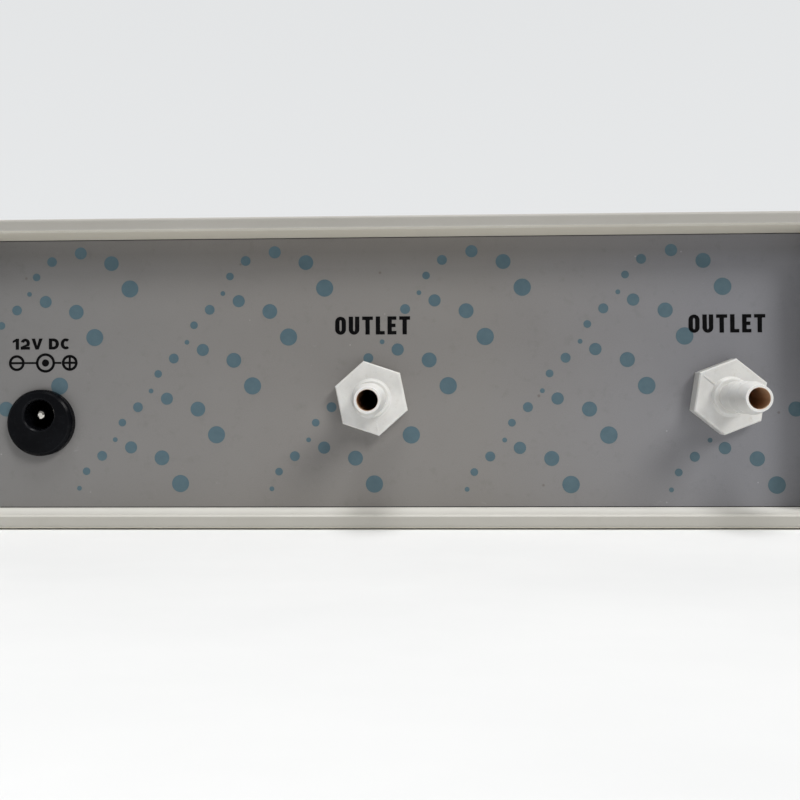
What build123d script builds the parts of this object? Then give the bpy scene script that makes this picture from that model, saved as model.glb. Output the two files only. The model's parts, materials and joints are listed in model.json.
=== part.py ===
"""Twin-head 12 V diaphragm air pump in a low instrument case, in millimetres.

+Z is up, the outlet panel faces -Y and the control panel faces +Y. The origin is on the surface that
the feet stand on, below the middle of the case.
"""

from build123d import *
from math import cos, radians, sin
import os

# Case: two plastic shells round two sliding panels
case_width = 182.0
case_depth = 150.0
case_height = 61.4
case_wall = 2.7
case_corner_radius = 4.0
inner_corner_radius = 1.3
lip_edge_radius = 0.6
lip_inner_chamfer = 0.35
shadow_gap_height = 0.4
shadow_gap_depth = 0.5
foot_height = 1.2
foot_pocket_depth = 0.8
foot_radius = 6.0
foot_spots = [(x, y) for x in (-73.0, 73.0) for y in (-57.0, 57.0)]
tongue_height = 1.5
tongue_thickness = 1.25
tongue_half_length = 62.0
vent_rise = 43.5
fit_gap = 0.1

case_bottom = foot_height - foot_pocket_depth
case_top = case_bottom + case_height
floor_z = case_bottom + case_wall
roof_z = case_top - case_wall
middle_z = (floor_z + roof_z) / 2
split_z = middle_z
inner_half_width = case_width / 2 - case_wall
vent_z = floor_z + vent_rise
half_depth = case_depth / 2

# Case bosses and their self-tapping screws
boss_radius = 5.0
boss_spots = [(x, y) for x in (-81.5, 81.5) for y in (-48.0, 48.0)]
screw_well_radius = 3.3
screw_well_top = floor_z + 16.0
case_screw_length = 20.0

# Panels: a stiff plate in a groove with a printed film on its outer face
panel_recess = 9.0
film_thickness = 0.3
panel_thickness = 2.0
groove_depth = 1.0
film_margin = 0.2
film_face = half_depth - panel_recess
panel_outer = film_face - film_thickness
panel_inner = panel_outer - panel_thickness

# Outlet fittings: barb, collar, hexagon, thread and inner barb in one moulding
outlet_height = floor_z + 22.6
left_outlet_x = -1.7
right_outlet_x = 70.6
hex_across_flats = 13.5
hex_thickness = 3.0
collar_radius = 3.75
collar_length = 1.1
barb_radius = 3.15
barb_root_radius = 2.6
barb_root_clearance = 0.15
barb_count = 3
barb_land = 0.8
barb_tip_radius = 2.5
barb_reach = 16.3
fitting_bore_radius = 2.0
fitting_thread_radius = 4.0
thread_inner_y = -52.0
inner_barb_length = 8.0
inner_barb_radius = 3.0
fitting_inner_ridge = 2.75
gasket_thickness = 1.0
outlet_nut_thickness = 4.0

# Power jack
jack_x = -70.75
jack_z = floor_z + 17.8
jack_flange_radius = 6.9
jack_flange_thickness = 2.0
jack_barrel_radius = 5.5
jack_body_radius = 5.0
jack_socket_radius = 3.15
jack_socket_rise = 1.65
jack_socket_depth = 11.0
jack_pin_radius = 1.0
jack_barrel_inner_y = -53.0
jack_body_inner_y = -49.0

# Pump: crankcase cube, eccentric on the motor shaft, two opposed diaphragm heads
crank_z = floor_z + 28.0
case_half = 20.0
crankcase_wall = 3.0
cavity_half = case_half - crankcase_wall
cavity_corner_radius = 8.0
port_radius = 12.5
throw = 1.5
journal_radius = 4.0
bearing_outer_radius = 6.0
bearing_width = 3.5
bearing_pitch_radius = 5.0
ball_radius = 0.48
rod_offset = 2.2
rod_ring_radius = 8.2
seat_radius = 8.0
seat_thickness = 2.0
diaphragm_thickness = 1.5
diaphragm_radius = 18.0
stud_radius = 1.5
retainer_radius = 7.5
retainer_thickness = 1.5
chamber_floor = 25.0
plate_outer = 27.5
cover_outer = 39.5
cover_wall = 3.0
head_screw_spacing = 31.0
head_screw_radius = 1.5
valve_rise = 5.3
intake_rise = 8.0
intake_radius = 5.0
head_barb_tip = 51.5
bottom_of_pump = crank_z - case_half

# Motor: brushed direct-current can motor behind the crankcase
motor_radius = 12.2
motor_inner_radius = 11.4
motor_front = case_half
motor_back = motor_front + 30.8
motor_plate = 1.2
shaft_radius = 1.0
bush_clearance = 0.03
bush_radius = 3.0
rear_bush_radius = 2.5
core_front = 27.0
core_length = 14.0
core_radius = 8.9
pole_count = 3
motor_screw_radius = 1.25
motor_screw_spacing = 16.0

# Mounting of the pump
bracket_thickness = 1.5
bracket_top = bottom_of_pump
bracket_bottom = bracket_top - bracket_thickness
mount_spots = [(x, y) for x in (-24.0, 24.0) for y in (-27.0, 29.0)]
mount_post_top = floor_z + 2.5
pump_screw_spots = [(x, y) for x in (-12.0, 12.0) for y in (-14.0, 14.0)]

# Hoses
hose_inner_radius = 2.5
hose_outer_radius = 4.0
cuff_inner_radius = 3.1
cuff_outer_radius = 4.4
cuff_start = 42.0
cuff_end = 52.0
hose_b_side_x = -69.0
hose_b_cross_y = -32.0

# Controls
knob_x = 60.0
control_z = middle_z
knob_radius = 12.0
knob_reach = 16.3
knob_gap = 0.6
knob_flutes = 24
knob_rest_angle = -135.0
pot_radius = 8.0
pot_depth = 8.0
pot_bush_radius = 3.5
pot_shaft_radius = 3.0
switch_x = -60.0
switch_width = 15.0
switch_height = 21.0
rocker_tilt = 10.0
rocker_radius = 8.6
rocker_half_width = 5.0
rocker_pivot_y = 62.5
led_z = floor_z + 43.0
led_radius = 2.5

# Circuit board
board_x = (-76.0, -50.0)
board_y = (12.0, 52.0)
board_z = (floor_z + 4.8, floor_z + 6.4)
board_posts = [(x, y) for x in (-73.0, -53.0) for y in (15.0, 49.0)]

normals = {"front": (0, -1, 0), "back": (0, 1, 0), "right": (1, 0, 0), "left": (-1, 0, 0), "up": (0, 0, 1)}
sideways = {"front": (1, 0, 0), "back": (-1, 0, 0), "right": (0, 1, 0), "left": (0, -1, 0), "up": (1, 0, 0)}


def face(direction, x, y, z):
    """A working plane at a point, with its normal in the named direction and its y axis up."""
    return Plane(origin=(x, y, z), x_dir=sideways[direction], z_dir=normals[direction])


def outward(side):
    """The name of the direction from the crank to the right-hand (1) or left-hand (-1) head."""
    return "right" if side > 0 else "left"


def save(piece, name):
    """Label a finished piece and write it to its own file."""
    piece.part.label = name
    export_step(piece.part, f"parts/{name}.step")


def block(x_span, y_span, z_span, mode=Mode.ADD):
    """A box between two values on each axis."""
    spans = (x_span, y_span, z_span)
    with Locations(tuple((min(span) + max(span)) / 2 for span in spans)):
        Box(*(abs(span[1] - span[0]) for span in spans), mode=mode)


def bar(plane, radius, length, mode=Mode.ADD):
    """A round bar, or a round hole, from a plane along its normal."""
    with BuildSketch(plane) as profile:
        Circle(radius)
    extrude(profile.sketch, amount=length, mode=mode)


def tube(plane, outer_radius, inner_radius, length):
    """A round tube from a plane along its normal."""
    with BuildSketch(plane) as profile:
        Circle(outer_radius)
        Circle(inner_radius, mode=Mode.SUBTRACT)
    extrude(profile.sketch, amount=length)


def hexagon(plane, across_flats, length, turn=0.0):
    """A hexagonal prism from a plane along its normal."""
    with BuildSketch(plane) as profile:
        RegularPolygon(across_flats / 2, 6, major_radius=False, rotation=turn)
    extrude(profile.sketch, amount=length)


def turned(plane, outline):
    """A turned solid: outline points are (distance along the plane's x axis, radius from it)."""
    with BuildSketch(plane) as profile:
        with BuildLine():
            Polyline(*outline, close=True)
        make_face()
    revolve(profile.sketch, axis=Axis(plane.origin, plane.x_dir))


def lathe_plane(direction, x, y, z):
    """A plane through an axis, whose x direction runs along that axis."""
    side_normal = (0, 0, 1) if direction != "up" else (0, -1, 0)
    return Plane(origin=(x, y, z), x_dir=normals[direction], z_dir=side_normal)


def hose_barb(base_radius, ridge_radius, start, ridges, pitch, land, tip_radius):
    """Outline points of a barb from its base outwards: a step up, a short land, then a taper."""
    points = [(start, base_radius)]
    for ridge in range(ridges):
        root = start + ridge * pitch
        last = ridge == ridges - 1
        points += [(root, ridge_radius), (root + land, ridge_radius)]
        points += [(root + pitch, tip_radius if last else base_radius)]
    return points


# ---------------------------------------------------------------- case

def case_tube():
    """The closed ring of wall that the two shells are halves of, with its panel grooves."""
    with BuildPart() as ring:
        with BuildSketch(face("front", 0, half_depth, middle_z)):
            RectangleRounded(case_width, case_height, case_corner_radius)
        extrude(amount=case_depth)
        ends = ring.faces().filter_by(Axis.Y).edges()
        fillet(ends, radius=lip_edge_radius)
        with BuildSketch(face("front", 0, half_depth, middle_z)):
            RectangleRounded(2 * inner_half_width, roof_z - floor_z, inner_corner_radius)
        extrude(amount=case_depth, mode=Mode.SUBTRACT)
        rims = ring.faces().filter_by(Axis.Y)
        chamfer([wire.edges() for rim in rims for wire in rim.inner_wires()], length=lip_inner_chamfer)
        for groove_start in (-panel_inner + fit_gap, panel_outer + fit_gap):
            with BuildSketch(face("front", 0, groove_start, middle_z)):
                RectangleRounded(
                    2 * (inner_half_width + groove_depth),
                    roof_z - floor_z + 2 * groove_depth,
                    inner_corner_radius + groove_depth,
                )
            extrude(amount=panel_thickness + 2 * fit_gap, mode=Mode.SUBTRACT)
    return ring.part


def make_bottom_shell():
    """Floor, lower side walls, bosses, posts, foot pockets and cooling slots."""
    step_top = split_z + tongue_height
    tongue_face = inner_half_width + tongue_thickness
    with BuildPart() as bottom_shell:
        add(case_tube())
        block((-case_width, case_width), (-case_depth, case_depth), (step_top, 2 * case_top), Mode.SUBTRACT)
        for side in (-1, 1):
            outer_band = (side * tongue_face, side * case_width)
            block(outer_band, (-case_depth, case_depth), (split_z, step_top), Mode.SUBTRACT)
            for end in (-1, 1):
                lip_zone = (end * tongue_half_length, end * case_depth)
                block((0, side * case_width), lip_zone, (split_z, step_top), Mode.SUBTRACT)
        for x, y in boss_spots:
            bar(face("up", x, y, floor_z), boss_radius, split_z - floor_z)
        for x, y in mount_spots:
            bar(face("up", x, y, floor_z), boss_radius, mount_post_top - floor_z)
        for x, y in board_posts:
            bar(face("up", x, y, floor_z), 2.5, board_z[0] - floor_z)
            bar(face("up", x, y, board_z[0]), 1.2, board_z[1] - board_z[0] + 0.9)
        for x, y in boss_spots:
            well_depth = screw_well_top - case_bottom
            bar(face("up", x, y, case_bottom), screw_well_radius, well_depth, Mode.SUBTRACT)
            bar(face("up", x, y, screw_well_top), 1.7, split_z, Mode.SUBTRACT)
        for x, y in mount_spots:
            bar(face("up", x, y, case_bottom + 1.0), head_screw_radius + 0.02, 6, Mode.SUBTRACT)
        for x, y in foot_spots:
            bar(face("up", x, y, case_bottom), foot_radius + fit_gap, foot_pocket_depth, Mode.SUBTRACT)
        with BuildSketch(face("up", 0, 0, case_bottom)):
            with GridLocations(5.0, 1, 9, 1):
                SlotOverall(28.0, 2.2, rotation=90)
        extrude(amount=case_wall, mode=Mode.SUBTRACT)
    save(bottom_shell, "bottom_shell")


def make_top_shell():
    """Roof, upper side walls with vent slots, and the bosses that take the case screws."""
    step_top = split_z + tongue_height + fit_gap
    rebate_face = inner_half_width + tongue_thickness + fit_gap
    with BuildPart() as top_shell:
        add(case_tube())
        block((-case_width, case_width), (-case_depth, case_depth), (0, split_z), Mode.SUBTRACT)
        for side in (-1, 1):
            rebate_length = tongue_half_length + fit_gap
            rebate = (side * (inner_half_width - 1), side * rebate_face)
            block(rebate, (-rebate_length, rebate_length), (split_z, step_top), Mode.SUBTRACT)
            gap_band = (side * (case_width / 2 - shadow_gap_depth), side * case_width)
            block(gap_band, (-case_depth, case_depth), (split_z, split_z + shadow_gap_height), Mode.SUBTRACT)
            with BuildSketch(face(outward(side), side * (inner_half_width - 1), 0, vent_z)):
                with GridLocations(7.0, 1, 11, 1):
                    SlotOverall(14.0, 2.2, rotation=90)
            extrude(amount=case_wall + 2, mode=Mode.SUBTRACT)
        for x, y in boss_spots:
            bar(face("up", x, y, split_z), boss_radius - 1.0, roof_z - split_z)
        for x, y in boss_spots:
            bar(face("up", x, y, split_z), 1.52, case_screw_length - 6, Mode.SUBTRACT)
    save(top_shell, "top_shell")


def make_feet():
    """Four rubber feet glued into pockets in the floor."""
    with BuildPart() as rubber_feet:
        for x, y in foot_spots:
            outline = [(0, 0), (0, foot_radius - 1.2), (0.4, foot_radius)]
            outline += [(foot_height, foot_radius), (foot_height, 0)]
            turned(lathe_plane("up", x, y, 0), outline)
    save(rubber_feet, "rubber_feet")


def screw(plane, shank_radius, shank_length, head_radius, head_height):
    """A pan-head screw: the shank runs along the plane's normal, the head stands behind the plane."""
    bar(plane, shank_radius, shank_length)
    under_head = plane.offset(-head_height)
    bar(under_head, head_radius, head_height)
    with BuildSketch(under_head) as cross:
        Rectangle(head_radius, 0.6)
        Rectangle(0.6, head_radius)
    extrude(cross.sketch, amount=head_height / 2, mode=Mode.SUBTRACT)


def make_case_screws():
    """Four long screws that pull the top shell down on to the bottom shell."""
    with BuildPart() as case_screws:
        for x, y in boss_spots:
            screw(face("up", x, y, screw_well_top), 1.5, case_screw_length, 2.8, 2.2)
    save(case_screws, "case_screws")


# ---------------------------------------------------------------- panels

def make_panel_sheet(name, direction, outer_face, thickness, margin, holes):
    """A panel plate or film; holes are (x, z, radius) or (x, z, width, height)."""
    facing = -1 if direction == "front" else 1
    with BuildPart() as sheet:
        with BuildSketch(face("front", 0, facing * outer_face, middle_z)):
            RectangleRounded(
                2 * (inner_half_width - margin),
                roof_z - floor_z - 2 * margin,
                inner_corner_radius - margin,
            )
            for x, z, *size in holes:
                with Locations((x, z - middle_z)):
                    if len(size) == 1:
                        Circle(size[0], mode=Mode.SUBTRACT)
                    else:
                        RectangleRounded(*size, 1.0, mode=Mode.SUBTRACT)
        extrude(amount=facing * thickness)
    save(sheet, name)


def make_panels():
    """Both panels and their printed films."""
    outlet_holes = [(jack_x, jack_z, jack_barrel_radius + fit_gap)]
    for x in (left_outlet_x, right_outlet_x):
        outlet_holes.append((x, outlet_height, fitting_thread_radius + fit_gap))
    control_holes = [
        (knob_x, control_z, pot_bush_radius + fit_gap),
        (0, led_z, led_radius + fit_gap),
        (switch_x, control_z, switch_width - 2.0, switch_height - 1.8),
    ]
    in_groove = fit_gap - groove_depth
    for name, direction, holes in (("outlet", "front", outlet_holes), ("control", "back", control_holes)):
        make_panel_sheet(f"{name}_panel", direction, panel_outer, panel_thickness, in_groove, holes)
        make_panel_sheet(f"{name}_panel_film", direction, film_face, film_thickness, film_margin, holes)


# ---------------------------------------------------------------- outlets

def make_outlet_fitting(name, x, hex_turn, flash_angle):
    """A moulded hose-barb fitting screwed through the panel, with a line of mould flash on its hexagon."""
    axis_plane = lathe_plane("front", x, -film_face, outlet_height)
    barb_start = hex_thickness + collar_length + 1.9
    root = barb_root_radius + barb_root_clearance
    pitch = (barb_reach - barb_start) / barb_count
    inner_start = film_face + thread_inner_y
    outline = [(-inner_start - inner_barb_length, fitting_bore_radius)]
    outline += [(-inner_start - inner_barb_length, 2.4)]
    middle = -inner_start - inner_barb_length / 2
    outline += [(middle, fitting_inner_ridge), (middle, 2.4), (-inner_start, fitting_inner_ridge)]
    outline += [(-inner_start, fitting_thread_radius), (0, fitting_thread_radius), (0, 5.0)]
    outline += [(hex_thickness, 5.0), (hex_thickness, collar_radius + 0.3)]
    outline += [(hex_thickness + 0.3, collar_radius)]
    outline += [(hex_thickness + collar_length - 0.2, collar_radius)]
    outline += [(hex_thickness + collar_length, collar_radius - 0.2)]
    outline += [(hex_thickness + collar_length, root)]
    outline += hose_barb(root, barb_radius, barb_start, barb_count, pitch, barb_land, barb_tip_radius)
    outline += [(barb_reach, fitting_bore_radius)]
    with BuildPart() as fitting:
        hexagon(face("front", x, -film_face, outlet_height), hex_across_flats, hex_thickness, hex_turn)
        front = fitting.faces().sort_by(Axis.Y)[0]
        chamfer(front.edges(), length=0.25)
        turned(axis_plane, outline)
        flash_plane = face("front", x, -film_face - hex_thickness, outlet_height)
        with BuildSketch(flash_plane):
            with PolarLocations(5.3, 1, start_angle=flash_angle):
                Rectangle(3.1, 0.22)
        extrude(amount=0.12)
        bore_start = face("front", x, thread_inner_y + inner_barb_length, outlet_height)
        bar(bore_start, fitting_bore_radius, 100, Mode.SUBTRACT)
    save(fitting, name)


def make_outlet_hardware():
    """The sealing washer and nut that hold each fitting from inside."""
    nut_start = -panel_inner + gasket_thickness
    with BuildPart() as outlet_gaskets:
        for x in (left_outlet_x, right_outlet_x):
            gasket_plane = face("front", x, nut_start, outlet_height)
            tube(gasket_plane, 6.5, fitting_thread_radius + 0.02, gasket_thickness)
    save(outlet_gaskets, "outlet_gaskets")
    with BuildPart() as outlet_nuts:
        for x in (left_outlet_x, right_outlet_x):
            nut_plane = face("front", x, nut_start + outlet_nut_thickness, outlet_height)
            hexagon(nut_plane, hex_across_flats, outlet_nut_thickness)
            bar(nut_plane, fitting_thread_radius + 0.02, outlet_nut_thickness, Mode.SUBTRACT)
    save(outlet_nuts, "outlet_nuts")


# ---------------------------------------------------------------- power jack

def make_jack():
    """A threaded panel jack with a bevelled flange, an off-centre socket and a centre pin."""
    socket_z = jack_z + jack_socket_rise
    front_y = -film_face - jack_flange_thickness
    socket_floor_y = front_y + jack_socket_depth
    outline = [(film_face + jack_body_inner_y, 0), (film_face + jack_body_inner_y, jack_body_radius)]
    outline += [(film_face + jack_barrel_inner_y, jack_body_radius)]
    outline += [(film_face + jack_barrel_inner_y, jack_barrel_radius)]
    outline = [(-along, radius) for along, radius in outline]
    outline += [(0, jack_barrel_radius), (0, jack_flange_radius), (1.3, jack_flange_radius)]
    outline += [(1.75, jack_flange_radius - 0.25), (jack_flange_thickness, jack_flange_radius - 0.6)]
    outline += [(jack_flange_thickness, 0)]
    with BuildPart() as jack_body:
        turned(lathe_plane("front", jack_x, -film_face, jack_z), outline)
        bar(face("front", jack_x, socket_floor_y, socket_z), jack_socket_radius, 20, Mode.SUBTRACT)
        bar(face("front", jack_x, socket_floor_y + 2, socket_z), jack_pin_radius, 4, Mode.SUBTRACT)
        rim = jack_body.edges().filter_by(GeomType.CIRCLE).sort_by(Axis.Y)[0:2]
        chamfer(rim.filter_by(lambda edge: edge.radius < 4), length=0.25)
    save(jack_body, "jack_body")

    with BuildPart() as jack_pin:
        turned(
            lathe_plane("front", jack_x, socket_floor_y + 2, socket_z),
            [(0, 0), (0, 1.0), (11.6, 1.0), (12.0, 0.8), (12.2, 0.45), (12.2, 0)],
        )
    save(jack_pin, "jack_pin")

    with BuildPart() as jack_terminals:
        for offset in (-2.6, 0.0, 2.6):
            tab_x = (jack_x + offset - 0.25, jack_x + offset + 0.25)
            block(tab_x, (jack_body_inner_y, jack_body_inner_y + 6.0), (jack_z - 1.2, jack_z + 1.2))
    save(jack_terminals, "jack_terminals")

    with BuildPart() as jack_nut:
        nut_plane = face("front", jack_x, -panel_inner + 2.5, jack_z)
        hexagon(nut_plane, 14.0, 2.5)
        bar(nut_plane, jack_barrel_radius + 0.02, 2.5, Mode.SUBTRACT)
    save(jack_nut, "jack_nut")


# ---------------------------------------------------------------- crankcase

def make_crankcase():
    """A cube bored through for the two rods, open to the front and carrying the motor behind."""
    half_spacing = head_screw_spacing / 2
    with BuildPart() as crankcase:
        block((-case_half, case_half), (-case_half, case_half), (crank_z - case_half, crank_z + case_half))
        with BuildSketch(face("front", 0, cavity_half, crank_z)):
            RectangleRounded(2 * cavity_half, 2 * cavity_half, cavity_corner_radius)
        extrude(amount=2 * case_half, mode=Mode.SUBTRACT)
        bar(face("right", -case_half, 0, crank_z), port_radius, 2 * case_half, Mode.SUBTRACT)
        bar(face("back", 0, 0, crank_z), bush_radius + fit_gap, 2 * case_half, Mode.SUBTRACT)
        for side in (-1, 1):
            for y in (-half_spacing, half_spacing):
                for z in (crank_z - half_spacing, crank_z + half_spacing):
                    plane = face(outward(side), side * 14.5, y, z)
                    bar(plane, head_screw_radius + 0.02, 8, Mode.SUBTRACT)
            screw_z = crank_z + side * motor_screw_spacing / 2
            bar(face("back", 0, 0, screw_z), motor_screw_radius + 0.02, 2 * case_half, Mode.SUBTRACT)
        for x, z in cover_screw_spots():
            bar(face("back", x, -case_half, z), 1.02, 6, Mode.SUBTRACT)
        for x, y in pump_screw_spots:
            hole_plane = face("up", x, y, bottom_of_pump)
            bar(hole_plane, head_screw_radius + 0.02, crankcase_wall + 1, Mode.SUBTRACT)
    save(crankcase, "crankcase")


def cover_screw_spots():
    """Middles of the four edges of the crankcase cover, as (x, z)."""
    reach = case_half - crankcase_wall / 2
    return [(-reach, crank_z), (reach, crank_z), (0, crank_z - reach), (0, crank_z + reach)]


def make_crankcase_cover():
    """The plate over the open front of the crankcase, and its four screws."""
    with BuildPart() as crankcase_cover:
        z_span = (crank_z - case_half, crank_z + case_half)
        block((-case_half, case_half), (-case_half - 3, -case_half), z_span)
        chamfer(crankcase_cover.edges().filter_by(Axis.Y), length=3.0)
        for x, z in cover_screw_spots():
            bar(face("back", x, -case_half - 3, z), 1.1, 3, Mode.SUBTRACT)
    save(crankcase_cover, "crankcase_cover")
    with BuildPart() as crankcase_cover_screws:
        for x, z in cover_screw_spots():
            screw(face("back", x, -case_half - 3, z), 1.0, 8.5, 1.4, 1.4)
    save(crankcase_cover_screws, "crankcase_cover_screws")


# ---------------------------------------------------------------- motor

def make_motor_shell():
    """The steel can, its magnets, the plastic end cap, bushes, brushes and fixing screws."""
    can_plane = face("back", 0, motor_front, crank_z)
    with BuildPart() as motor_can:
        bar(can_plane, motor_radius, motor_back - motor_front)
        bar(can_plane.offset(motor_plate), motor_inner_radius, 40, Mode.SUBTRACT)
        bar(can_plane, bush_radius, motor_plate, Mode.SUBTRACT)
        for side in (-1, 1):
            screw_z = crank_z + side * motor_screw_spacing / 2
            bar(face("back", 0, motor_front, screw_z), motor_screw_radius + 0.02, motor_plate, Mode.SUBTRACT)
    save(motor_can, "motor_can")

    with BuildPart() as motor_magnets:
        tube(can_plane.offset(4), motor_inner_radius - 0.05, 9.3, 20)
        block((-4, 4), (motor_front, motor_back), (0, 2 * crank_z), Mode.SUBTRACT)
    save(motor_magnets, "motor_magnets")

    cap_plane = face("back", 0, motor_back - 2.8, crank_z)
    with BuildPart() as motor_end_cap:
        bar(cap_plane, motor_inner_radius - 0.05, 2.8)
        bar(cap_plane, 3.6, 5.0)
        bar(cap_plane, rear_bush_radius, 5.0, Mode.SUBTRACT)
        for side in (-1, 1):
            slot = (side * 8 - 0.3, side * 8 + 0.3)
            block(slot, (motor_front, motor_back + 5), (crank_z - 1.5, crank_z + 1.5), Mode.SUBTRACT)
    save(motor_end_cap, "motor_end_cap")

    with BuildPart() as motor_bushes:
        tube(can_plane.offset(-1.5), bush_radius, shaft_radius + bush_clearance, 4.0)
        tube(cap_plane.offset(1.0), rear_bush_radius, shaft_radius + bush_clearance, 4.0)
    save(motor_bushes, "motor_bushes")

    with BuildPart() as motor_terminals:
        for side in (-1, 1):
            blade = (side * 8 - 0.25, side * 8 + 0.25)
            block(blade, (45.0, motor_back + 5), (crank_z - 1.4, crank_z + 1.4))
            block((side * 3.0, side * 8), (45.0, 45.6), (crank_z - 0.8, crank_z + 0.8))
    save(motor_terminals, "motor_terminals")

    with BuildPart() as motor_screws:
        for side in (-1, 1):
            screw_z = crank_z + side * motor_screw_spacing / 2
            screw(face("back", 0, cavity_half, screw_z), motor_screw_radius, 4.8, 2.3, 1.8)
    save(motor_screws, "motor_screws")


def make_armature():
    """The turning parts of the motor: shaft, three-pole core, coils and commutator."""
    with BuildPart() as motor_shaft:
        bar(face("back", 0, -6.5, crank_z), shaft_radius, motor_back + 9.0)
    save(motor_shaft, "motor_shaft")

    with BuildPart() as armature_core:
        with BuildSketch(face("back", 0, core_front, crank_z)):
            Circle(core_radius)
            Circle(core_radius - 1.5, mode=Mode.SUBTRACT)
            Circle(3.4)
            with PolarLocations(5.6, pole_count):
                Rectangle(5.2, 3.0)
            with PolarLocations(core_radius - 0.75, pole_count, start_angle=180 / pole_count):
                Rectangle(3.0, 1.8, mode=Mode.SUBTRACT)
            Circle(shaft_radius, mode=Mode.SUBTRACT)
        extrude(amount=core_length)
    save(armature_core, "armature_core")

    core_middle = core_front + core_length / 2
    with BuildPart() as armature_windings:
        for pole in range(pole_count):
            angle = radians(pole * 360 / pole_count)
            direction = (-cos(angle), 0, sin(angle))
            foot = tuple(3.55 * value for value in direction)
            coil_origin = (foot[0], core_middle, crank_z + foot[2])
            with BuildSketch(Plane(origin=coil_origin, x_dir=(0, 1, 0), z_dir=direction)):
                RectangleRounded(core_length + 3.2, 6.2, 1.2)
                Rectangle(core_length + 0.1, 3.1, mode=Mode.SUBTRACT)
            extrude(amount=3.05)
    save(armature_windings, "armature_windings")

    with BuildPart() as commutator:
        with BuildSketch(face("back", 0, 43.2, crank_z)):
            Circle(2.9)
            with PolarLocations(2.7, pole_count):
                Rectangle(0.8, 0.4, mode=Mode.SUBTRACT)
            Circle(shaft_radius, mode=Mode.SUBTRACT)
        extrude(amount=4.2)
    save(commutator, "commutator")


# ---------------------------------------------------------------- crank and rods

def make_eccentric():
    """The offset journal on the motor shaft with its counterweight."""
    with BuildPart() as eccentric:
        bar(face("back", throw, -5.5, crank_z), journal_radius, 10.3)
        with BuildSketch(face("front", 0, 8.8, crank_z)):
            Circle(12.0)
            with Locations((12 + 2.0, 0)):
                Rectangle(24, 30, mode=Mode.SUBTRACT)
            Circle(4.4)
        extrude(amount=4.0)
        bar(face("back", 0, 8.8, crank_z), 3.6, 3.2)
        bar(face("back", 0, -10, crank_z), shaft_radius, 40, Mode.SUBTRACT)
    save(eccentric, "eccentric")


def make_bearings():
    """Two small ball bearings side by side on the journal."""
    starts = [offset - bearing_width / 2 for offset in (-rod_offset, rod_offset)]
    with BuildPart() as bearing_inner_rings:
        for start in starts:
            tube(face("back", throw, start, crank_z), journal_radius + 0.5, journal_radius, bearing_width)
    save(bearing_inner_rings, "bearing_inner_rings")
    with BuildPart() as bearing_balls:
        for offset in (-rod_offset, rod_offset):
            for index in range(9):
                angle = radians(index * 40)
                ball_x = throw + bearing_pitch_radius * cos(angle)
                with Locations((ball_x, offset, crank_z + bearing_pitch_radius * sin(angle))):
                    Sphere(ball_radius)
    save(bearing_balls, "bearing_balls")
    for name, start in zip(("bearing_outer_a", "bearing_outer_b"), starts):
        with BuildPart() as bearing_outer:
            ring_plane = face("back", throw, start, crank_z)
            tube(ring_plane, bearing_outer_radius, bearing_outer_radius - 0.5, bearing_width)
        save(bearing_outer, name)


def make_rod(name, side):
    """A connecting rod: bearing eye, flat arm and the seat behind the diaphragm."""
    rod_y = -side * rod_offset
    seat_face = case_half + side * throw
    seat_back = seat_face - seat_thickness
    eye_plane = face("back", throw, rod_y - bearing_width / 2, crank_z)
    with BuildPart() as rod:
        bar(eye_plane, rod_ring_radius, bearing_width)
        arm_y = (rod_y - bearing_width / 2, rod_y + bearing_width / 2)
        block((throw, side * seat_back), arm_y, (crank_z - 4, crank_z + 4))
        seat_plane = face(outward(side), side * seat_back, 0, crank_z)
        bar(seat_plane, seat_radius, seat_thickness)
        bar(eye_plane, bearing_outer_radius, bearing_width, Mode.SUBTRACT)
        bar(seat_plane, stud_radius + 0.02, seat_thickness, Mode.SUBTRACT)
    save(rod, name)


def make_diaphragm(name, side):
    """A round rubber diaphragm, clamped at its rim and pushed in or out at its middle by the rod."""
    centre_in = case_half + side * throw
    centre_out = centre_in + diaphragm_thickness
    rim_in = case_half
    rim_out = case_half + diaphragm_thickness
    flex_inner = seat_radius + 0.4
    flex_outer = port_radius - 0.1
    outline = [(rim_in, diaphragm_radius), (rim_in, flex_outer), (centre_in, flex_inner)]
    outline += [(centre_in, stud_radius + 0.1), (centre_out, stud_radius + 0.1), (centre_out, flex_inner)]
    outline += [(rim_out, flex_outer), (rim_out, diaphragm_radius)]
    with BuildPart() as diaphragm:
        turned(lathe_plane(outward(side), 0, 0, crank_z), outline)
    save(diaphragm, name)


def make_retainer(name, side):
    """The disc and stud that clamp the middle of the diaphragm to the rod."""
    under_disc = case_half + side * throw + diaphragm_thickness
    with BuildPart() as retainer:
        bar(face(outward(side), side * under_disc, 0, crank_z), retainer_radius, retainer_thickness)
        stud_start = under_disc - diaphragm_thickness - seat_thickness + 0.1
        bar(face(outward(side), side * stud_start, 0, crank_z), stud_radius, under_disc - stud_start)
    save(retainer, name)


# ---------------------------------------------------------------- heads

def head_screw_spots():
    """Corners of the screw square, as (y, z)."""
    half = head_screw_spacing / 2
    return [(y, crank_z + rise) for y in (-half, half) for rise in (-half, half)]


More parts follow.
